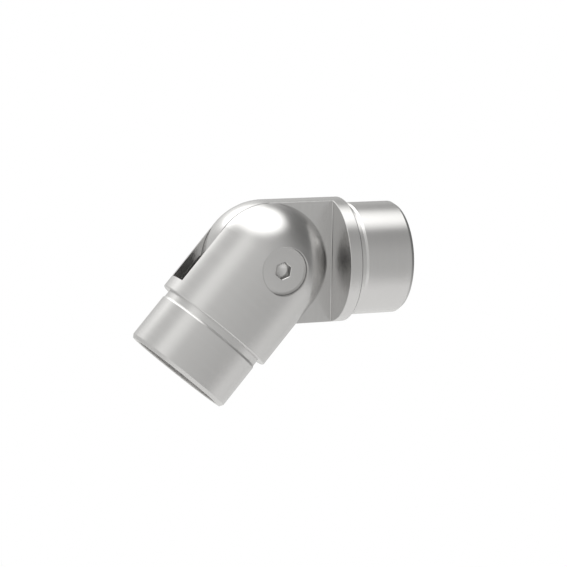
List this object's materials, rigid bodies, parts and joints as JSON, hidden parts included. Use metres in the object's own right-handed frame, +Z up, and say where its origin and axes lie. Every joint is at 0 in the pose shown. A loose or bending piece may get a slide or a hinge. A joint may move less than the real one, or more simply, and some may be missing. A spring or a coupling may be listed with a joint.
{
  "type": "adjustable handrail tube elbow",
  "caption": "Adjustable in-line elbow: a forked and a tongued half swing on one countersunk pivot, and each ends in a spigot for 42.4 mm tube.",
  "frame": {"origin": "on the tongued half's tube axis, where the fitted wall of its spigot begins", "axes": "+X along the tongued half's tube axis, out of its spigot; +Y along the pivot, away from the screw's head; +Z up"},
  "size_m": [0.0917, 0.0424, 0.0688],
  "materials": {
    "satin_casting": "satin ground stainless steel",
    "turned_steel": "turned stainless steel"
  },
  "bodies": {
    "tongue": {"tongue_half": "satin_casting"},
    "fork": {"fork_half": "satin_casting", "sleeve_nut": "turned_steel"},
    "screw": {"pivot_screw": "turned_steel"}
  },
  "joints": [
    {"name": "elbow_swing", "type": "hinge", "parent": "tongue", "child": "fork", "pos_m": [-0.03025, 0, 0], "axis": [0, -1, 0], "range_deg": [-139.2, 40.8]},
    {"name": "screw_turn", "type": "hinge", "parent": "fork", "child": "screw", "pos_m": [-0.03025, 0, 0], "axis": [0, -1, 0], "range_deg": [0, 180]}
  ]
}
